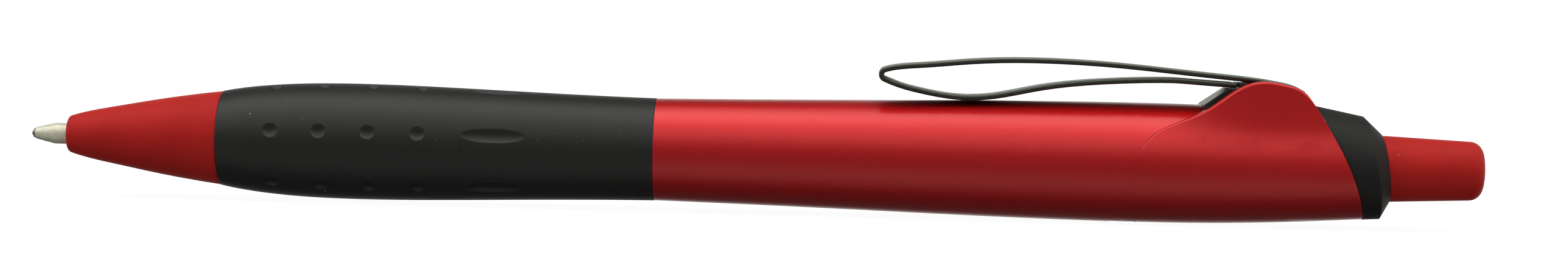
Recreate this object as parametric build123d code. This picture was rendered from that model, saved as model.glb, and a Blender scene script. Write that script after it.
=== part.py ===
from build123d import *
import math
import os

# Retractable ballpoint pen, drawn with its writing point out. Millimetres.
# The origin is the front of the writing ball, +X runs along the pen's axis to
# the push button, and +Z points to the clip.

# ------------------------------------------------------------ fits and travel
SEAT_GAP = 0.02             # between parts that are pressed or screwed together
RUN_GAP = 0.10              # radial, between parts that slide or turn
PRESS_TRAVEL = 1.5          # the button goes this far in past its latched place
RETRACT_TRAVEL = 5.0        # and comes this far out when the point is retracted
CUTTER_REACH = 12.0         # cutting shapes reach this far out, well past the pen's outside

# --------------------------------------------------------- places along the axis
NOSE_FRONT = 3.65
SPRING_SEAT = 10.0          # shoulder inside the nose that the spring stands on
NOSE_SOCKET = 14.0          # front of the screwed joint inside the nose
GRIP_FRONT = 18.9
BORE_STEP = 35.0            # the lower barrel's bore widens here
GRIP_REAR = 61.5
SOCKET_END = 70.0           # the lower barrel ends here, inside the barrel
SLEEVE_FRONT = 100.0        # cam sleeve, from its shoulder in the barrel
LAND_FRONT = 112.1          # stop faces of the cam sleeve's lands
SLEEVE_FLANGE = 121.0
SLEEVE_REAR = 122.0
BLOCK_FRONT = 115.1         # clip block, in its pocket between the cheeks
BLOCK_REAR = 126.15

# ------------------------------------------------------- outsides, as (x, radius)
NOSE_SKIN = [(NOSE_FRONT, 1.74), (4.8, 2.10), (8.4, 2.88), (12.0, 3.57), (15.6, 4.17), (GRIP_FRONT, 4.62)]
GRIP_SKIN = [(GRIP_FRONT, 4.66), (20.4, 4.95), (22.8, 5.27), (25.6, 5.51), (29.5, 5.67), (33.0, 5.70),
             (38.0, 5.64), (45.6, 5.43), (52.8, 5.22), (GRIP_REAR, 5.05)]
BARREL_SKIN = [(GRIP_REAR + SEAT_GAP, 5.03), (72.0, 5.22), (84.0, 5.49), (94.0, 5.72), (103.0, 5.86), (109.0, 5.90),
               (115.0, 5.86), (121.0, 5.67), (127.0, 5.34), (133.0, 4.95)]

# --------------------------------------------------------------------- refill
BALL_R = 0.35
TIP_R = 1.02                # shank of the writing tip
TIP_REAR = 9.0
HOLDER_REAR = 11.5
REFILL_END = 107.0
TUBE_R = 1.50
TUBE_BORE_R = 0.95
INK_END = 86.0
FOLLOWER_END = 90.0
EAR_FRONT = 26.0            # crimped ears that the spring pushes on
EAR_LENGTH = 1.4
EAR_REACH = 2.05
EAR_THICK = 0.7

# --------------------------------------------------------------------- spring
SPRING_R = 1.90             # to the middle of the wire
SPRING_WIRE_R = 0.20
SPRING_TURNS = 10
SPRING_END_GAP = 0.05

# ------------------------------------------------------------- click mechanism
SLOTS = 4                   # slots in the cam sleeve, and ribs on rotor and plunger
SLOT_WIDTH = 1.4
RIB_WIDTH = 1.2
LAND_R = 2.15
SLOT_R = 2.85
RIB_R = 2.75
CROWN_TEETH = 8
TOOTH_DEPTH = 0.7
SLEEVE_R = 3.58
ROTOR_R = 2.00
ROTOR_CROWN = 112.9         # tips of the rotor's crown teeth
RIB_REAR = 112.0
PLUNGER_R = 2.05
PLUNGER_CROWN = 113.0
PLUNGER_REAR = 128.4
PIN_R = 1.20

# --------------------------------------------------------------------- button
BUTTON_R = 3.25
BUTTON_FRONT = SLEEVE_REAR + PRESS_TRAVEL + 0.5
FLANGE_REAR = 125.2
FLANGE_R = 3.90
BUTTON_TAPER = 133.6        # the button is straight up to here, then tapers
BUTTON_END = 143.1

# -------------------------------------------------------------- slanted end cap
SEAM = [(124.41, 8.0), (129.34, 0.0), (131.70, -7.0)]   # arc of the barrel's slanted rear edge, as (x, z)
SEAM_GAP = 0.06
CAP_TOP = [(124.0, 6.49), (134.0, 4.56)]    # top line of the cap, as (x, z)
CAP_BORE_R = 4.50           # barrel's bore around the end cap's spigot
CAP_CAVITY_R = 4.00
CAP_SHOULDER = FLANGE_REAR + RETRACT_TRAVEL + 0.05
CONE_TILT = 9.0             # degrees, the cap's rear cone leans towards the tip
CONE_SLOPE = 0.794          # how far the cone falls per unit of radius
CONE_EDGE_R = 3.32
CONE_CENTRE = (133.43, 0.15)

# ------------------------------------------------------------ cheeks and clip
CHANNEL_HALF = 3.0          # half the gap between the two cheeks
CHANNEL_FLOOR = 5.2
CHEEK_FRONT = 109.0         # the cheeks grow out of the barrel's sides from here
CHEEK_LIP = [(CHEEK_FRONT, 1.85), (111.3, 3.72), (113.5, 4.62), (115.8, 5.85), (118.3, 7.62), (119.6, 8.20),
             (121.2, 8.38), (122.9, 8.14), (124.2, 7.76), (125.6, 6.65), (126.9, 4.66)]
CHEEK_GROWTH = 9.0          # the cheeks stand fully upright this far behind their front
FRONT_FLANK = [(0.31, 1.9), (0.70, 2.8), (1.22, 3.7), (1.75, 4.8), (2.35, 6.9), (2.80, 9.0)]   # as (inset, z)
REAR_FLANK = [(0.30, 1.9), (0.57, 2.8), (0.77, 3.7), (0.885, 4.8), (1.02, 6.9), (1.15, 9.0)]
LIP_ROUND = 0.25
LEDGE = 0.03                # the rear of the barrel lies this far under the turned front
CLIP_STEP = 118.5           # the lower strand ends in front of this step of the block
CLIP_WIDTH = 5.4
CLIP_THICK = 0.52
BEND_CENTRE = (84.05, 8.05)
BEND_R = 0.50
UPPER_ANGLE = 18.0          # slope of the upper strand where it leaves the bend
LOWER_ANGLE = -25.0
UPPER_STRAND = [(87.6, 9.05), (92.4, 9.53), (99.6, 9.79), (108.0, 9.44), (116.0, 8.76), (120.2, 8.40),
                (122.4, 8.10), (123.9, 7.72), (125.0, 7.15)]
LOWER_STRAND = [(87.6, 6.50), (91.6, 5.99), (94.8, 6.22), (98.4, 6.97), (104.4, 7.82), (111.6, 8.20),
                (CLIP_STEP - 0.15, 7.89)]


# -------------------------------------------------------------------- helpers
def lift(points):
    """Points of the pen's upright middle plane, from (x, z)."""
    return [(x, 0, z) for x, z in points]


def path(*points):
    return Polyline(*lift(points))


def curve(*points):
    return Spline(*lift(points))


def turned(*lines):
    """Solid of revolution about the pen's axis, from the lines around its half section."""
    edges = [edge for line in lines for edge in line.edges()]
    return revolve(make_face(edges), Axis.X)


def shell(skin, bore):
    """Turned part with a smooth outside and a stepped bore, the bore listed from back to front."""
    return turned(curve(*skin), path(skin[-1], *bore, skin[0]))


def tube(x_front, x_rear, r_out, r_in=0.0):
    return turned(path((x_front, r_in), (x_front, r_out), (x_rear, r_out), (x_rear, r_in), (x_front, r_in)))


def around(shape, count, start=0.0):
    """Copies of a shape, spaced evenly around the pen's axis."""
    return [Rot(start + i * 360 / count, 0, 0) * shape for i in range(count)]


def block(x_front, x_rear, half_width, z_low, z_high):
    size = (x_rear - x_front, 2 * half_width, z_high - z_low)
    return Pos((x_front + x_rear) / 2, 0, (z_low + z_high) / 2) * Box(*size)


def upright(face_lines, half_width):
    """Prism across the pen, from closed lines in its middle plane."""
    edges = [edge for line in face_lines for edge in line.edges()]
    return extrude(make_face(edges), amount=half_width, dir=(0, 1, 0), both=True)


def radius_at(skin, x):
    """Radius of a skin at x, straight between its points."""
    for (x0, r0), (x1, r1) in zip(skin, skin[1:]):
        if x0 <= x <= x1:
            return r0 + (r1 - r0) * (x - x0) / (x1 - x0)
    return skin[-1][1]


def rim(part, x, radius):
    """Circular edges of a turned part at one place along the axis."""
    circles = part.edges().filter_by(GeomType.CIRCLE)
    return [e for e in circles if abs(e.arc_center.X - x) < 0.01 and abs(e.radius - radius) < 0.01]


def behind_seam(shift=0.0):
    """Prism behind the barrel's curved rear edge."""
    (x_top, z_top), (x_middle, z_middle), (x_low, z_low) = [(x + shift, z) for x, z in SEAM]
    seam = ThreePointArc(*lift([(x_top, z_top), (x_middle, z_middle), (x_low, z_low)]))
    rear = x_low + CUTTER_REACH
    return upright([seam, path((x_low, z_low), (rear, z_low), (rear, z_top), (x_top, z_top))], CUTTER_REACH)


# ------------------------------------------------------------- nose and grip
def nose_cone():
    bore = [(GRIP_FRONT, 3.15), (NOSE_SOCKET, 3.15), (NOSE_SOCKET, 2.30), (SPRING_SEAT, 2.30),
            (SPRING_SEAT, 1.70), (5.5, 1.70), (5.0, TIP_R + RUN_GAP), (NOSE_FRONT, TIP_R + RUN_GAP)]
    cone = shell(NOSE_SKIN, bore)
    front_radius, front_round = NOSE_SKIN[0][1], 0.45
    return fillet(rim(cone, NOSE_FRONT, front_radius), front_round)


def dimple(x):
    """Ball that presses one round dimple into the top of the grip."""
    half_width, depth = 0.72, 0.28
    ball_r = (half_width ** 2 + depth ** 2) / (2 * depth)
    return Pos(x, 0, radius_at(GRIP_SKIN, x) + ball_r - depth) * Rot(90, 0, 0) * Sphere(ball_r)


def leaf_groove(x):
    """Ring whose lowest part presses one leaf-shaped groove into the top of the grip."""
    half_length, half_width, depth = 3.1, 0.75, 0.26
    long_r = (half_length ** 2 + depth ** 2) / (2 * depth)
    short_r = (half_width ** 2 + depth ** 2) / (2 * depth)
    ring = Torus(long_r - short_r, short_r)
    return Pos(x, 0, radius_at(GRIP_SKIN, x) + long_r - depth) * Rot(90, 0, 0) * ring


def grip_sleeve():
    sleeve = shell(GRIP_SKIN, [(GRIP_REAR, 3.90), (GRIP_FRONT + SEAT_GAP, 3.90)])
    marks = [dimple(x) for x in (24.3, 29.05, 33.85, 38.7)] + [leaf_groove(46.55)]
    row_start = 78.0        # turns a row from the top to 12 degrees above the side
    for mark in marks:
        sleeve -= around(mark, 6, row_start)
    return sleeve


def lower_barrel():
    spigot_r, body_r, throat_r, bore_r = 3.13, 3.88, 2.30, 3.00
    return turned(path(
        (NOSE_SOCKET + SEAT_GAP, throat_r), (NOSE_SOCKET + SEAT_GAP, spigot_r),
        (GRIP_FRONT + SEAT_GAP, spigot_r), (GRIP_FRONT + SEAT_GAP, body_r),
        (SOCKET_END, body_r), (SOCKET_END, bore_r), (BORE_STEP, bore_r),
        (BORE_STEP - 1, throat_r), (NOSE_SOCKET + SEAT_GAP, throat_r)))


# -------------------------------------------------------------------- barrel
def rear_section(x):
    """Cross-section of the barrel's rear: a circle below that runs smoothly into upright cheek faces."""
    r = radius_at(BARREL_SKIN, x) - LEDGE
    grown = min(max((x - CHEEK_FRONT) / CHEEK_GROWTH, 0), 1)
    angles = [math.radians(a) for a in range(170, 371, 20)]
    below = [(r * math.cos(a), r * math.sin(a)) for a in angles]
    right = [(r - start + grown * (start - end), z) for (start, z), (end, _) in zip(FRONT_FLANK, REAR_FLANK)]
    left = [(-y, z) for y, z in reversed(right)]
    skin = Spline(*[(x, y, z) for y, z in left + below + right])
    return make_face([skin.edge(), Line(skin @ 1, skin @ 0).edge()])


def under_lip():
    """Prism of all that lies behind the cheeks' front and under their lip."""
    rear, low = BARREL_SKIN[-1][0] + 1, -CUTTER_REACH
    lip_end = CHEEK_LIP[-1]
    below = path(lip_end, (rear, lip_end[1]), (rear, low), (CHEEK_FRONT, low), CHEEK_LIP[0])
    return upright([curve(*CHEEK_LIP), below], CUTTER_REACH)


def rear_body():
    """Rear of the barrel with its two cheeks, still solid."""
    body = loft([rear_section(x) for x, r in BARREL_SKIN if x > SLEEVE_FRONT]) & under_lip()
    lips = [e for e in body.edges() if abs(e.center().Y) > 4 and e.center().Z > 5.3 and e.length > 15]
    body = fillet(lips, LIP_ROUND)
    return body - block(CHEEK_FRONT, BLOCK_FRONT, CHANNEL_HALF, 0, CUTTER_REACH)


def solid_skin(skin):
    """Turned solid under a skin."""
    return turned(curve(*skin), path(skin[-1], (skin[-1][0], 0), (skin[0][0], 0), skin[0]))


def barrel():
    front, rear = BARREL_SKIN[0][0], BARREL_SKIN[-1][0]
    bore_r, sleeve_r, socket_r, waist_r = CAP_BORE_R + SEAT_GAP, SLEEVE_R + SEAT_GAP, 3.90, 3.40
    core_skin = [(x, r - 2 * LEDGE) for x, r in BARREL_SKIN]
    body = solid_skin(BARREL_SKIN) - under_lip()
    body += solid_skin(core_skin)
    body += rear_body()
    body -= turned(path(
        (front - 1, 0), (front - 1, socket_r), (SOCKET_END + 0.5, socket_r), (SOCKET_END + 0.5, waist_r),
        (SLEEVE_FRONT, waist_r), (SLEEVE_FRONT, sleeve_r), (SLEEVE_FLANGE, sleeve_r),
        (SLEEVE_FLANGE, bore_r), (rear + 2, bore_r), (rear + 2, 0), (front - 1, 0)))
    body -= block(BLOCK_FRONT, rear, CHANNEL_HALF, CHANNEL_FLOOR, CUTTER_REACH)
    return body - behind_seam()


def cap_section(x, top):
    """Half circle below and a half ellipse of its own height above, a little inside the barrel's skin."""
    inset = 0.04
    r = radius_at(BARREL_SKIN, x) - inset
    plane = Plane.YZ.offset(x)
    lower = plane * CenterArc((0, 0), r, 180, 180)
    upper = plane * EllipticalCenterArc((0, 0), r, top, start_angle=0, arc_size=180)
    return make_face(lower.edges() + upper.edges())


def end_cap():
    ring = loft([cap_section(x, top) for x, top in CAP_TOP]) & behind_seam(SEAM_GAP)
    reach, front, middle = 9.0, -CUTTER_REACH, 0.3
    cone = path((front, 0), (front, reach), (CONE_SLOPE * (CONE_EDGE_R - reach), reach), (0, CONE_EDGE_R),
                (middle, 0), (front, 0))
    x_cone, z_cone = CONE_CENTRE
    ring &= Pos(x_cone, 0, z_cone) * Rot(0, -CONE_TILT, 0) * turned(cone)
    spigot = tube(SLEEVE_REAR + SEAT_GAP, CAP_SHOULDER + 0.5, CAP_BORE_R)
    ring += spigot
    ring -= tube(SLEEVE_REAR, CAP_SHOULDER, CAP_CAVITY_R)
    ring -= tube(SLEEVE_REAR, BUTTON_END, BUTTON_R + RUN_GAP)
    return ring


# ---------------------------------------------------------------------- clip
def clip_block():
    """Black wedge between the cheeks that the clip's two ends lie on."""
    low = CHANNEL_FLOOR + SEAT_GAP
    front = BLOCK_FRONT + SEAT_GAP
    top = [(front, 5.93), (117.5, 7.56), (CLIP_STEP, 7.53), (CLIP_STEP, 8.18)]
    saddle = [(CLIP_STEP, 8.18), (120.4, 8.02), (122.4, 7.74), (124.0, 7.18), (125.2, 6.42), (BLOCK_REAR, 5.35)]
    lines = [path(*top), curve(*saddle), path(saddle[-1], (BLOCK_REAR, low), (front, low), top[0])]
    return upright(lines, CHANNEL_HALF - SEAT_GAP)


def clip():
    """Flat strip folded into a loop; its lower strand dips to touch the barrel."""
    start, size = 90 + UPPER_ANGLE, 180 - UPPER_ANGLE + LOWER_ANGLE
    bend = Plane.XZ * CenterArc(BEND_CENTRE, BEND_R, start, size)

    def strand(first, points, angle):
        heading = Vector(1, 0, 0).rotate(Axis.Y, -angle)
        last, before = [Vector(*point) for point in (lift(points)[-1], lift(points)[-2])]
        return Spline(first, *lift(points), tangents=[heading, (last - before).normalized()])

    upper = strand(bend @ 0, UPPER_STRAND, UPPER_ANGLE)
    lower = strand(bend @ 1, LOWER_STRAND, LOWER_ANGLE)
    strip = Plane(origin=upper @ 1, x_dir=(0, 1, 0), z_dir=upper % 1) * Rectangle(CLIP_WIDTH, CLIP_THICK)
    return sweep(strip, path=Wire([upper.edge(), bend.edge(), lower.edge()]))


# -------------------------------------------------------------------- refill
def writing_ball():
    return Pos(BALL_R, 0, 0) * Sphere(BALL_R)


def writing_tip():
    """Machined socket, cone and shank, with the ink channel through them."""
    seat_r = 0.01
    lip_x, spigot_r, channel_r = 0.22, 0.73, 0.20
    spigot_end = 13.0
    body = turned(path(
        (lip_x, 0), (lip_x, 0.42), (0.50, 0.58), (1.20, 0.745), (1.22, 0.77), (2.03, 0.945), (2.05, 0.97),
        (2.37, TIP_R),
        (TIP_REAR, TIP_R), (TIP_REAR, spigot_r), (spigot_end, spigot_r), (spigot_end, 0), (lip_x, 0)))
    body -= Pos(BALL_R, 0, 0) * Sphere(BALL_R + seat_r)
    return body - tube(BALL_R, spigot_end + 1, channel_r)


def tip_holder():
    bore_r, channel_r, spigot_r, collar_r = 0.75, 0.60, 0.93, 1.45
    front = TIP_REAR + SEAT_GAP
    return turned(path(
        (front, bore_r), (front, 1.25), (front + 0.3, collar_r), (HOLDER_REAR, collar_r),
        (HOLDER_REAR, spigot_r), (15.5, spigot_r), (15.5, channel_r), (13.1, channel_r),
        (13.1, bore_r), (front, bore_r)))


def refill_tube():
    tube_front = HOLDER_REAR + SEAT_GAP
    ears = block(EAR_FRONT, EAR_FRONT + EAR_LENGTH, EAR_REACH, -EAR_THICK / 2, EAR_THICK / 2)
    return tube(tube_front, REFILL_END, TUBE_R) + ears - tube(tube_front - 1, REFILL_END + 1, TUBE_BORE_R)


def ink():
    """The ink fills the tip's channel, the holder and most of the tube."""
    gap = 0.01
    return turned(path(
        (0.75, 0), (0.75, 0.20 - gap), (13.11, 0.20 - gap), (13.11, 0.60 - gap), (15.51, 0.60 - gap),
        (15.51, TUBE_BORE_R - gap), (INK_END, TUBE_BORE_R - gap), (INK_END, 0), (0.75, 0)))


def ink_follower():
    """Clear grease plug behind the ink, with a hollow rear end."""
    gap, hollow_r = 0.01, 1.1
    plug = tube(INK_END + gap, FOLLOWER_END, TUBE_BORE_R - gap)
    return plug - Pos(FOLLOWER_END + 0.6, 0, 0) * Sphere(hollow_r)


def return_spring():
    first = SPRING_SEAT + SPRING_WIRE_R + SPRING_END_GAP
    last = EAR_FRONT - SPRING_WIRE_R - SPRING_END_GAP
    coil = Helix(pitch=(last - first) / SPRING_TURNS, height=last - first, radius=SPRING_R)
    wire = Plane(origin=coil @ 0, z_dir=coil % 0) * Circle(SPRING_WIRE_R)
    return Pos(first, 0, 0) * Rot(0, 90, 0) * sweep(wire, path=coil, is_frenet=True)


# ----------------------------------------------------------- click mechanism
def crown_notch(x_tip, direction):
    """Prism that cuts one notch between crown teeth; direction is where the body lies."""
    half = math.pi * ROTOR_R / CROWN_TEETH
    valley = (x_tip + direction * TOOTH_DEPTH, 0, 0)
    mouth = x_tip - direction * 0.2
    notch = Polyline((mouth, -half, 0), (mouth, half, 0), valley, (mouth, -half, 0))
    return extrude(make_face(notch.edges()), amount=4, dir=(0, 0, 1))


def ribs(x_front, x_rear, r_base):
    rib = block(x_front, x_rear, RIB_WIDTH / 2, r_base, RIB_R)
    round_off = tube(x_front, x_rear, RIB_R)
    return [r & round_off for r in around(rib, SLOTS)]


def rotor():
    """Turning cam: pushes the refill, carries the stop ribs and half of the crown."""
    nose_r, rib_front = 0.85, 107.6
    body = tube(REFILL_END + 0.05, ROTOR_CROWN, ROTOR_R)
    body -= around(crown_notch(ROTOR_CROWN, -1), CROWN_TEETH)
    body += tube(REFILL_END - 2, REFILL_END + 1, nose_r)
    body += tube(ROTOR_CROWN - 2, 117.5, PIN_R)
    for rib in ribs(rib_front, RIB_REAR, ROTOR_R - 0.2):
        body += rib
    return body


def plunger():
    """Rod between the button and the rotor, with guide ribs and the other half of the crown."""
    body = tube(PLUNGER_CROWN, PLUNGER_REAR, PLUNGER_R)
    body -= around(crown_notch(PLUNGER_CROWN, 1), CROWN_TEETH)
    for rib in ribs(114.4, 118.6, PLUNGER_R - 0.2):
        body += rib
    return body - tube(PLUNGER_CROWN - 1, 120.0, PIN_R + RUN_GAP)


def cam_sleeve():
    """Fixed sleeve whose lands stop the rotor and whose slots guide it."""
    cavity_r = 2.95
    body = tube(SLEEVE_FRONT, SLEEVE_REAR, SLEEVE_R)
    body += tube(SLEEVE_FLANGE + SEAT_GAP, SLEEVE_REAR, CAP_BORE_R - SEAT_GAP)
    hollow = tube(SLEEVE_FRONT - 1, LAND_FRONT, cavity_r) + tube(SLEEVE_FRONT - 1, SLEEVE_REAR + 1, LAND_R)
    slot = block(LAND_FRONT - 1, SLEEVE_REAR + 1, SLOT_WIDTH / 2, 0, SLOT_R + 1)
    slot &= tube(LAND_FRONT - 1, SLEEVE_REAR + 1, SLOT_R)
    ramp_fall, ramp_half = 1.2, 1.3
    ramp = Polyline((LAND_FRONT - 0.5, -ramp_half, 0), (LAND_FRONT, -ramp_half, 0),
                    (LAND_FRONT + ramp_fall, ramp_half, 0), (LAND_FRONT - 0.5, ramp_half, 0),
                    (LAND_FRONT - 0.5, -ramp_half, 0))
    wedge = extrude(make_face(ramp.edges()), amount=SLOT_R, dir=(0, 0, 1))
    for cutter in around(slot, SLOTS) + around(wedge, SLOTS, 45):
        hollow += cutter
    return body - hollow


def button():
    """Hollow cap with a retaining flange at its front and a slightly domed end."""
    rim_r, rim_x, corner_r = 2.86, BUTTON_END - 0.25, 1.3
    dome_r = (rim_r ** 2 + (BUTTON_END - rim_x) ** 2) / (2 * (BUTTON_END - rim_x))
    dome_middle = (BUTTON_END - dome_r + math.sqrt(dome_r ** 2 - (rim_r / 2) ** 2), rim_r / 2)
    dome = ThreePointArc(*lift([(rim_x, rim_r), dome_middle, (BUTTON_END, 0)]))
    socket_r, hollow_r, hollow_end = PLUNGER_R + SEAT_GAP, 1.9, 139.6
    socket_end = PLUNGER_REAR + 0.1
    side = path((BUTTON_FRONT, socket_r), (BUTTON_FRONT, FLANGE_R), (FLANGE_REAR, FLANGE_R),
                (FLANGE_REAR, BUTTON_R), (BUTTON_TAPER, BUTTON_R), (rim_x, rim_r))
    inside = path((BUTTON_END, 0), (hollow_end, 0), (hollow_end, hollow_r), (socket_end, hollow_r),
                  (socket_end, socket_r), (BUTTON_FRONT, socket_r))
    cap = turned(side, dome, inside)
    return fillet(rim(cap, rim_x, rim_r), corner_r)


PARTS = {
    "nose_cone": nose_cone, "grip_sleeve": grip_sleeve, "lower_barrel": lower_barrel, "barrel": barrel,
    "end_cap": end_cap, "clip_block": clip_block, "clip": clip, "writing_ball": writing_ball,
    "writing_tip": writing_tip, "tip_holder": tip_holder, "refill_tube": refill_tube, "ink": ink,
    "ink_follower": ink_follower, "return_spring": return_spring, "cam_rotor": rotor, "plunger": plunger,
    "cam_sleeve": cam_sleeve, "push_button": button,
}

os.makedirs("parts", exist_ok=True)
for name, make in PARTS.items():
    export_step(make(), f"parts/{name}.step")
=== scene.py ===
import math

import bmesh
import bpy
from mathutils import Matrix, Vector


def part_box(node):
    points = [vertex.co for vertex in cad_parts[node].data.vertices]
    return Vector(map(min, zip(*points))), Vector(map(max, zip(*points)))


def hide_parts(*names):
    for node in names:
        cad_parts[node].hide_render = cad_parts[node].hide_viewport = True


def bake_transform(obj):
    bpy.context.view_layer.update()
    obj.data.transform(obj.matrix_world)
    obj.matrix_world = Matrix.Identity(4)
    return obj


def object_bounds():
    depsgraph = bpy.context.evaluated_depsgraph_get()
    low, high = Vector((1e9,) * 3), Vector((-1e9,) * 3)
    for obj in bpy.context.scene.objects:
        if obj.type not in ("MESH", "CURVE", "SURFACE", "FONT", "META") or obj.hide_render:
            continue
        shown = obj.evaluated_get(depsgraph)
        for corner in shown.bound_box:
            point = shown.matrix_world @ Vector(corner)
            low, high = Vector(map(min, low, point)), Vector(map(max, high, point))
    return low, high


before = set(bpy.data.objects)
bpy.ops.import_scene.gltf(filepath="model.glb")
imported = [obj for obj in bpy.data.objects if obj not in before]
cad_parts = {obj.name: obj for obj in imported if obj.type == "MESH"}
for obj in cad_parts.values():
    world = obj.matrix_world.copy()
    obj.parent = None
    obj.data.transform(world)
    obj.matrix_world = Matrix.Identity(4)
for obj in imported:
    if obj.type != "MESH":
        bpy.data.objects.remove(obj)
CAD_BOX = [list(corner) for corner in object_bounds()]

MM = 0.001

# ---------------------------------------------------------------- the view
VIEW_FOOT_X = 82.8 * MM     # the camera looks square at this place on the pen's axis
VIEW_DISTANCE = 327 * MM
VIEW_ELEVATION = 2.7        # degrees above the pen
VIEW_ROLL = 1.54            # the pen falls this many degrees to the right
VIEW_NEAR = 10 * MM         # nothing closer to the camera than this is drawn
FRAME_WIDTH = 154.6 * MM    # width of the picture at the pen
SENSOR = 36.0               # width of the camera's sensor, in the millimetres that its lens is given in
FOOT_RIGHT = 0.0559         # the foot lies right of the picture's middle, in picture widths
FOOT_BELOW = 0.0119         # and below it

# ------------------------------------------------------- lights and floor
# Long soft bands around the pen: (degrees above the camera's horizon, half width in degrees, brightness).
LIGHT_BANDS = {
    "overhead box": (86, 35, 2.0),
    "front box": (46, 40, 0.85),
    "front fill": (0, 50, 0.13),
    "table bounce": (-44, 36, 0.36),
    "white wall behind": (180, 42, 1.0),
}
LIGHT_AMBIENT = 0.06
LIGHT_STOPS = 31            # directions around the pen at which the bands are worked out
LIGHT_BLUE = 0.97           # blue in the light, against red and green
FLOOR_SIZE = 6.0
FLOOR_X = 70 * MM
FLOOR_Z = CAD_BOX[0][2] - 0.1 * MM
FLOOR_SHADE = 0.10          # share of the floor's look that shows shadows
FLOOR_GLOW = 1.06           # brightness of the rest of its look

# ------------------------------------------------------- size of the detail
EDGE_WIDTH = 0.08 * MM      # rounding of moulded edges
EDGE_ANGLE = 35             # degrees; a moulded edge sharper than this is rounded
RUBBER_EDGE = 0.18 * MM     # soft rim of the grip's dimples
CLIP_EDGE = 0.24 * MM       # rounding of the clip strip's edges
CLIP_FLAT = 20              # degrees; triangles that meet flatter than this make one face
CLIP_CORNER = 50            # degrees; faces that meet sharper than this make a corner to be rounded
INK_FADE = (0.35 * MM, 0.65 * MM)   # the stain behind the ball fades out between these places
WELD = 0.001 * MM           # points closer than this are one
ROUGHNESS_PLAY = 0.05       # how far the grain takes roughness up and down

SPRING_WIRE = 0.20 * MM     # radius of the wire
SPRING_TURNS = 12
SPRING_DEAD_TURNS = 1.5     # closed coils at each end
SPRING_CLOSED_PITCH = 2.1 * SPRING_WIRE
SPRING_STEPS = 28           # rings of points per turn
RING_POINTS = 10            # points round the wire


# ----------------------------------------------------------- node helpers
def new_material(name):
    material = bpy.data.materials.new(name)
    material.use_nodes = True
    return material, material.node_tree, material.node_tree.nodes["Principled BSDF"]


def node(tree, kind, **settings):
    made = tree.nodes.new(kind)
    for key, value in settings.items():
        setattr(made, key, value)
    return made


def feed(tree, socket, value):
    """Links another node's output to the socket, or sets the socket to a number or a colour."""
    if isinstance(value, bpy.types.NodeSocket):
        tree.links.new(value, socket)
    elif isinstance(value, tuple):
        socket.default_value = (*value, 1.0)
    else:
        socket.default_value = value


def plug(tree, owner, **values):
    """Feeds a node's inputs by name, with an underscore for each space."""
    for key, value in values.items():
        feed(tree, owner.inputs[key.replace("_", " ")], value)


def math_node(tree, operation, *values):
    made = node(tree, "ShaderNodeMath", operation=operation)
    for socket, value in zip(made.inputs, values):
        feed(tree, socket, value)
    return made.outputs["Value"]


def axes(tree, vector):
    """The X, Y and Z of a place or direction."""
    made = node(tree, "ShaderNodeSeparateXYZ")
    plug(tree, made, Vector=vector)
    return made.outputs


def place(tree):
    """Texture coordinates in metres of the pen's own frame."""
    return node(tree, "ShaderNodeTexCoord").outputs["Object"]


def noise(tree, scale, detail=2.0):
    """Noise with the given number of grains per metre."""
    made = node(tree, "ShaderNodeTexNoise")
    plug(tree, made, Vector=place(tree), Scale=scale, Detail=detail)
    return made.outputs["Fac"]


def specks(tree, scale, size, share):
    """Mask of scattered dots: cells per metre, dot size in cells, and the share of cells that hold one."""
    cells = node(tree, "ShaderNodeTexVoronoi")
    plug(tree, cells, Vector=place(tree), Scale=scale)
    channels = node(tree, "ShaderNodeSeparateColor")
    plug(tree, channels, Color=cells.outputs["Color"])
    near = math_node(tree, "LESS_THAN", cells.outputs["Distance"], size)
    chosen = math_node(tree, "LESS_THAN", channels.outputs["Red"], share)
    return math_node(tree, "MULTIPLY", near, chosen)


def spread(tree, value, low=0.0, high=1.0, source_low=0.3, source_high=0.7):
    """Maps a texture's value onto a range."""
    made = node(tree, "ShaderNodeMapRange")
    plug(tree, made, Value=value, From_Min=source_low, From_Max=source_high, To_Min=low, To_Max=high)
    return made.outputs["Result"]


def mix_colour(tree, factor, first, second):
    made = node(tree, "ShaderNodeMix", data_type="RGBA")
    plug(tree, made, Factor=factor)
    for name, colour in (("A", first), ("B", second)):
        socket = [i for i in made.inputs if i.name == name and i.type == "RGBA"][0]
        feed(tree, socket, colour)
    return [o for o in made.outputs if o.type == "RGBA"][0]


def bump(tree, shader, height, distance, soft_edge=0.0):
    """Fine relief; a soft edge also rounds the look of sharp rims within that distance."""
    made = node(tree, "ShaderNodeBump")
    plug(tree, made, Distance=distance, Height=height)
    if soft_edge:
        rounding = node(tree, "ShaderNodeBevel", samples=8)
        plug(tree, rounding, Radius=soft_edge)
        plug(tree, made, Normal=rounding.outputs["Normal"])
    plug(tree, shader, Normal=made.outputs["Normal"])


def haze(tree, shader, weight):
    """Faint warm glow that skin grease and fine dust leave along the rims."""
    plug(tree, shader, Sheen_Weight=weight, Sheen_Roughness=0.45, Sheen_Tint=(0.90, 0.70, 0.50))


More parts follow.
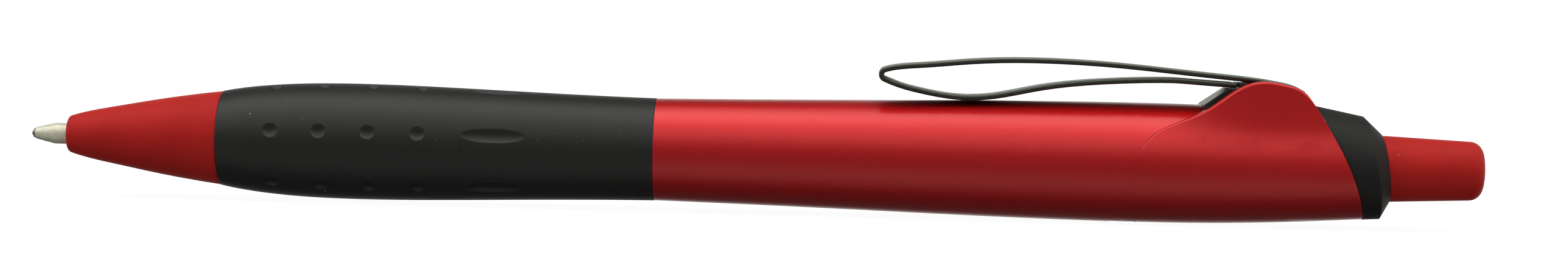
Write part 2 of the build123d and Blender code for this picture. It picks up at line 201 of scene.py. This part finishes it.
# -------------------------------------------------------------- materials
def red_lacquer():
    """Metallic red lacquer under a clear coat, with fine flake, faint clouding and a few dust specks."""
    deep, bright = (0.60, 0.006, 0.010), (0.82, 0.009, 0.013)
    cloud, dust = (0.74, 0.012, 0.013), (0.30, 0.05, 0.05)
    material, tree, shader = new_material("metallic_red_lacquer")
    flake = noise(tree, scale=14000)
    clouding = noise(tree, scale=180, detail=4)
    colour = mix_colour(tree, spread(tree, flake), deep, bright)
    colour = mix_colour(tree, spread(tree, clouding, high=0.35), colour, cloud)
    colour = mix_colour(tree, specks(tree, scale=520, size=0.030, share=0.80), colour, dust)
    plug(tree, shader, Base_Color=colour, Roughness=spread(tree, flake, low=0.50, high=0.60))
    plug(tree, shader, Metallic=1.0, Coat_Weight=1.0, Coat_Roughness=0.22)
    haze(tree, shader, weight=0.03)
    bump(tree, shader, flake, distance=0.0006 * MM)
    return material


def red_plastic():
    """Satin moulded plastic in the same red, without flake."""
    deep, bright, dust = (0.53, 0.015, 0.013), (0.61, 0.018, 0.015), (0.75, 0.20, 0.18)
    material, tree, shader = new_material("satin_red_plastic")
    grain = noise(tree, scale=8000)
    clouding = noise(tree, scale=240, detail=4)
    colour = mix_colour(tree, spread(tree, clouding), deep, bright)
    colour = mix_colour(tree, specks(tree, scale=420, size=0.030, share=1.00), colour, dust)
    plug(tree, shader, Base_Color=colour, Roughness=spread(tree, grain, low=0.46, high=0.56), IOR=1.24)
    haze(tree, shader, weight=0.10)
    bump(tree, shader, grain, distance=0.0012 * MM)
    return material


def grip_rubber():
    """Soft-touch rubber: matt, finely grained, with many faint specks of dust and a few bright ones."""
    deep, bright = (0.008, 0.008, 0.0075), (0.015, 0.015, 0.014)
    # Shade of each layer of dust: its cells per metre, speck size and share.
    dust_layers = {0.04: (1500, 0.060, 0.60), 0.10: (900, 0.050, 0.80), 0.30: (350, 0.028, 1.00)}
    material, tree, shader = new_material("soft_touch_rubber")
    grain = noise(tree, scale=9000, detail=3)
    colour = mix_colour(tree, spread(tree, grain), deep, bright)
    for shade, (scale, size, share) in dust_layers.items():
        colour = mix_colour(tree, specks(tree, scale, size, share), colour, (shade, shade, 0.9 * shade))
    plug(tree, shader, Base_Color=colour, Roughness=spread(tree, grain, low=0.38, high=0.50), IOR=1.5)
    bump(tree, shader, grain, distance=0.002 * MM, soft_edge=RUBBER_EDGE)
    return material


def black_plastic(name, roughness):
    """Moulded black plastic with a fine spark-eroded grain and a few dust specks."""
    deep, bright, dust = (0.008, 0.009, 0.008), (0.012, 0.014, 0.012), (0.12, 0.14, 0.11)
    material, tree, shader = new_material(name)
    grain = noise(tree, scale=6000)
    colour = mix_colour(tree, spread(tree, grain), deep, bright)
    colour = mix_colour(tree, specks(tree, scale=520, size=0.035, share=0.90), colour, dust)
    rough = spread(tree, grain, roughness - ROUGHNESS_PLAY, roughness + ROUGHNESS_PLAY)
    plug(tree, shader, Base_Color=colour, Roughness=rough, IOR=1.38)
    haze(tree, shader, weight=0.03)
    bump(tree, shader, grain, distance=0.001 * MM)
    return material


def clip_coating():
    """Smooth dark coating on the spring-steel clip, slightly green, with a painted highlight along its upper
    edges.
    """
    deep, bright, painted_highlight_colour = (0.032, 0.038, 0.029), (0.050, 0.057, 0.044), (0.20, 0.23, 0.16)
    material, tree, shader = new_material("dark_clip_coating")
    streaks = noise(tree, scale=2500, detail=3)
    # Painted highlight: faces that turn up and to the side get a pale colour, standing in for light from
    # above.
    facing = axes(tree, node(tree, "ShaderNodeNewGeometry").outputs["Normal"])
    upward = spread(tree, facing["Z"], source_low=0.35, source_high=0.9)
    sideways = spread(tree, math_node(tree, "ABSOLUTE", facing["Y"]), source_low=0.05, source_high=0.35)
    painted_highlight_mask = math_node(tree, "MULTIPLY", upward, sideways)
    colour = mix_colour(tree, spread(tree, streaks), deep, bright)
    colour = mix_colour(tree, painted_highlight_mask, colour, painted_highlight_colour)
    plug(tree, shader, Base_Color=colour, Metallic=0.4, Roughness=spread(tree, streaks, low=0.26, high=0.38))
    bump(tree, shader, streaks, distance=0.001 * MM)
    return material


def turned_tip():
    """Nickel silver with fine turning rings, stained with ink around the ball."""
    deep, bright = (0.86, 0.83, 0.62), (0.98, 0.96, 0.80)
    tarnish, ink = (0.42, 0.40, 0.33), (0.075, 0.042, 0.092)
    material, tree, shader = new_material("turned_nickel_silver")
    along = axes(tree, place(tree))["X"]
    turning = node(tree, "ShaderNodeTexNoise", noise_dimensions="1D")
    plug(tree, turning, W=along, Scale=9000)
    rings = turning.outputs["Fac"]
    smudges = noise(tree, scale=1800, detail=3)
    blots = noise(tree, scale=5200, detail=3)
    wetness = math_node(tree, "MULTIPLY", spread(tree, along, 1, 0, *INK_FADE), blots)
    stain = spread(tree, wetness, high=0.9, source_low=0.36, source_high=0.52)
    colour = mix_colour(tree, spread(tree, smudges), deep, bright)
    colour = mix_colour(tree, math_node(tree, "MULTIPLY", blots, 0.25), colour, tarnish)
    colour = mix_colour(tree, stain, colour, ink)
    plug(tree, shader, Base_Color=colour, Roughness=spread(tree, rings, low=0.36, high=0.52), Metallic=0.35)
    bump(tree, shader, rings, distance=0.002 * MM)
    return material


def moulding(name, colour, roughness, metallic=0.0, transmission=0.0):
    """Plain small part with a fine grain that darkens its colour a little."""
    dark = tuple(0.85 * channel for channel in colour)
    material, tree, shader = new_material(name)
    grain = noise(tree, scale=5000)
    rough = spread(tree, grain, roughness - ROUGHNESS_PLAY, roughness + ROUGHNESS_PLAY)
    plug(tree, shader, Base_Color=mix_colour(tree, spread(tree, grain), dark, colour), Roughness=rough)
    plug(tree, shader, Metallic=metallic, Transmission_Weight=transmission)
    bump(tree, shader, grain, distance=0.001 * MM)
    return material


def wear(piece, material):
    piece.data.materials.clear()
    piece.data.materials.append(material)


def dress():
    """Gives each CAD node that keeps its own shape its material."""
    lacquer, plastic = red_lacquer(), red_plastic()
    satin_black = black_plastic("satin_black_plastic", roughness=0.60)
    gloss_black = black_plastic("gloss_black_plastic", roughness=0.30)
    white = moulding("white_moulding", (0.72, 0.72, 0.69), roughness=0.45)
    looks = {
        "barrel": lacquer,
        "nose_cone": plastic,
        "push_button": plastic,
        "grip_sleeve": grip_rubber(),
        "end_cap": satin_black,
        "lower_barrel": satin_black,
        "clip_block": gloss_black,
        "cam_sleeve": white,
        "plunger": white,
        "tip_holder": white,
        "cam_rotor": moulding("grey_moulding", (0.30, 0.31, 0.32), roughness=0.45),
        "refill_tube": moulding("clear_tube", (0.80, 0.82, 0.84), roughness=0.15, transmission=0.9),
        "writing_tip": turned_tip(),
        "writing_ball": moulding("inked_carbide_ball", (0.46, 0.44, 0.40), roughness=0.30, metallic=0.6),
        "ink": moulding("dark_ink", (0.010, 0.012, 0.060), roughness=0.10),
        "ink_follower": moulding("clear_grease", (0.75, 0.72, 0.55), roughness=0.10, transmission=0.8),
    }
    for name, material in looks.items():
        wear(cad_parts[name], material)


# ----------------------------------------------------------------- pieces
def add_object(name, data):
    made = bpy.data.objects.new(name, data)
    bpy.context.scene.collection.objects.link(made)
    return made


def soften(name):
    """Rounds the sharp edges of a moulded CAD part for the eye; its own mesh stays as it is."""
    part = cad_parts[name]
    weld = part.modifiers.new("weld", "WELD")
    weld.merge_threshold = WELD
    edges = part.modifiers.new("soft_edges", "BEVEL")
    edges.width = EDGE_WIDTH
    edges.segments = 2
    edges.angle_limit = math.radians(EDGE_ANGLE)
    part.modifiers.new("even_shading", "WEIGHTED_NORMAL")


def round_strip(mesh):
    """Joins the strip's triangles into broad faces and rounds the corners between them."""
    shape = bmesh.new()
    shape.from_mesh(mesh)
    bmesh.ops.remove_doubles(shape, verts=shape.verts, dist=WELD)
    bmesh.ops.join_triangles(shape, faces=shape.faces, angle_face_threshold=math.radians(CLIP_FLAT),
                             angle_shape_threshold=math.pi)
    sharp = math.radians(CLIP_CORNER)
    corners = [edge for edge in shape.edges if edge.is_manifold and edge.calc_face_angle() > sharp]
    bmesh.ops.bevel(shape, geom=corners, offset=CLIP_EDGE, segments=5, profile=0.5, affect="EDGES")
    for face in shape.faces:
        face.smooth = True
    shape.to_mesh(mesh)
    shape.free()


def clip_strip():
    """The clip's folded strip with rounded edges."""
    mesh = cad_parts["clip"].data.copy()
    strip = add_object("clip_strip", mesh)
    if "custom_normal" in mesh.attributes:
        mesh.attributes.remove(mesh.attributes["custom_normal"])
    round_strip(mesh)
    strip.modifiers.new("even_shading", "WEIGHTED_NORMAL")
    wear(strip, clip_coating())
    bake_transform(strip)
    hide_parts("clip")


def coil_x(turn, length):
    """How far along the spring the wire is after so many turns; the coils at both ends are closed."""
    dead = SPRING_DEAD_TURNS
    live = SPRING_TURNS - 2 * dead
    open_pitch = (length - 2 * dead * SPRING_CLOSED_PITCH) / live
    closed = min(turn, dead) + max(turn - dead - live, 0)
    opened = min(max(turn - dead, 0), live)
    return closed * SPRING_CLOSED_PITCH + opened * open_pitch


def wire_centre(turn, front, length, radius):
    """Middle of the spring's wire after so many turns."""
    angle = 2 * math.pi * turn
    return Vector((front + coil_x(turn, length), radius * math.sin(angle), radius * math.cos(angle)))


def wire_ring(shape, before, middle, after):
    """Ring of points around the middle of the wire, square to the way it runs there."""
    outward = Vector((0, middle.y, middle.z)).normalized()
    heading = (after - before).normalized()
    across = heading.cross(outward).normalized()
    ring = []
    for point in range(RING_POINTS):
        angle = 2 * math.pi * point / RING_POINTS
        spoke = math.cos(angle) * outward + math.sin(angle) * across
        ring.append(shape.verts.new(middle + SPRING_WIRE * spoke))
    return ring


def wire_mesh(centres):
    """Round wire along a row of places, with flat ends."""
    shape = bmesh.new()
    rings = []
    for step, middle in enumerate(centres):
        before = centres[max(step - 1, 0)]
        after = centres[min(step + 1, len(centres) - 1)]
        rings.append(wire_ring(shape, before, middle, after))
    for ring, following in zip(rings, rings[1:]):
        for i in range(RING_POINTS):
            j = (i + 1) % RING_POINTS
            face = shape.faces.new((ring[i], ring[j], following[j], following[i]))
            face.smooth = True
    shape.faces.new(rings[0])
    shape.faces.new(rings[-1])
    bmesh.ops.recalc_face_normals(shape, faces=shape.faces)
    mesh = bpy.data.meshes.new("coil_spring")
    shape.to_mesh(mesh)
    shape.free()
    return mesh


def coil_spring():
    """Compression spring with closed ends, in the space of its CAD solid."""
    low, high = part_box("return_spring")
    front = low[0] + SPRING_WIRE
    length = high[0] - low[0] - 2 * SPRING_WIRE
    radius = (high[2] - low[2]) / 2 - SPRING_WIRE
    turns = [step / SPRING_STEPS for step in range(SPRING_TURNS * SPRING_STEPS + 1)]
    centres = [wire_centre(turn, front, length, radius) for turn in turns]
    spring = add_object("coil_spring", wire_mesh(centres))
    wear(spring, moulding("spring_steel", (0.62, 0.62, 0.60), roughness=0.25, metallic=1.0))
    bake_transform(spring)
    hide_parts("return_spring")


# ---------------------------------------------------------- floor and light
def camera_only(tree, shown, hidden):
    """Shader that the camera sees as one thing and all other rays as another."""
    path = node(tree, "ShaderNodeLightPath")
    mix = node(tree, "ShaderNodeMixShader")
    plug(tree, mix, Fac=path.outputs["Is Camera Ray"])
    feed(tree, mix.inputs[1], hidden)
    feed(tree, mix.inputs[2], shown)
    return mix.outputs["Shader"]


def around_pen(tree):
    """Direction of a world ray around the pen's axis, from 0 to 1; 0.5 is level towards the camera."""
    ray = axes(tree, node(tree, "ShaderNodeTexCoord").outputs["Generated"])
    towards = math_node(tree, "MULTIPLY", ray["Y"], -1.0)
    angle = math_node(tree, "ARCTAN2", ray["Z"], towards)
    return spread(tree, angle, source_low=-math.pi, source_high=math.pi)


def brightness(degrees):
    """Sum of the studio's bands in one direction; each band fades like a raised cosine."""
    total = LIGHT_AMBIENT
    for middle, half_width, level in LIGHT_BANDS.values():
        away = abs((degrees - middle + 180) % 360 - 180)
        if away < half_width:
            total += level * (1 + math.cos(math.pi * away / half_width)) / 2
    return total


def world_light():
    """White to the camera, and to everything else the bands of light around the pen."""
    world = bpy.data.worlds.new("studio")
    bpy.context.scene.world = world
    world.use_nodes = True
    tree = world.node_tree
    shown = tree.nodes["Background"]
    plug(tree, shown, Color=(1.0, 1.0, 1.0))
    ramp = node(tree, "ShaderNodeValToRGB")
    positions = [i / (LIGHT_STOPS - 1) for i in range(LIGHT_STOPS)]
    levels = [brightness(360 * position - 180) for position in positions]
    peak = max(levels)
    stops = ramp.color_ramp.elements
    stops[0].position, stops[1].position = positions[0], positions[-1]
    for position in positions[1:-1]:
        stops.new(position)
    for stop, level in zip(stops, levels):
        share = level / peak
        stop.color = (share, share, LIGHT_BLUE * share, 1)
    plug(tree, ramp, Fac=around_pen(tree))
    bands = node(tree, "ShaderNodeBackground")
    plug(tree, bands, Strength=peak, Color=ramp.outputs["Color"])
    seen = camera_only(tree, shown.outputs["Background"], bands.outputs["Background"])
    plug(tree, tree.nodes["World Output"], Surface=seen)


def floor():
    """Pale floor that only the camera sees, so that it takes no light from the pen's underside."""
    bpy.ops.mesh.primitive_plane_add(size=FLOOR_SIZE, location=(FLOOR_X, 0, FLOOR_Z))
    plane = bpy.context.object
    plane.name = "studio_floor"
    material, tree, shader = new_material("pale_floor")
    plug(tree, shader, Base_Color=(0.8, 0.8, 0.8), Roughness=0.9)
    glow = node(tree, "ShaderNodeEmission")
    plug(tree, glow, Strength=FLOOR_GLOW)
    mix = node(tree, "ShaderNodeMixShader")
    plug(tree, mix, Fac=FLOOR_SHADE)
    feed(tree, mix.inputs[1], glow.outputs["Emission"])
    feed(tree, mix.inputs[2], shader.outputs["BSDF"])
    plug(tree, tree.nodes["Material Output"], Surface=mix.outputs["Shader"])
    plane.data.materials.append(material)
    plane.visible_glossy = False
    plane.visible_diffuse = False
    plane.visible_shadow = False


def camera():
    data = bpy.data.cameras.new("camera")
    data.sensor_width = SENSOR
    data.lens = SENSOR * VIEW_DISTANCE / FRAME_WIDTH
    data.shift_x = -FOOT_RIGHT
    data.shift_y = FOOT_BELOW
    data.clip_start = VIEW_NEAR
    eye = add_object("camera", data)
    rise = math.radians(VIEW_ELEVATION)
    stand = Vector((VIEW_FOOT_X, -VIEW_DISTANCE * math.cos(rise), VIEW_DISTANCE * math.sin(rise)))
    tilt = Matrix.Rotation(math.radians(90) - rise, 4, "X")
    roll = Matrix.Rotation(math.radians(VIEW_ROLL), 4, "Z")
    eye.matrix_world = Matrix.Translation(stand) @ tilt @ roll
    bpy.context.scene.camera = eye


bpy.context.scene.view_settings.view_transform = "Standard"
dress()
clip_strip()
coil_spring()
for moulded in ("end_cap", "clip_block", "nose_cone"):
    soften(moulded)
world_light()
floor()
camera()
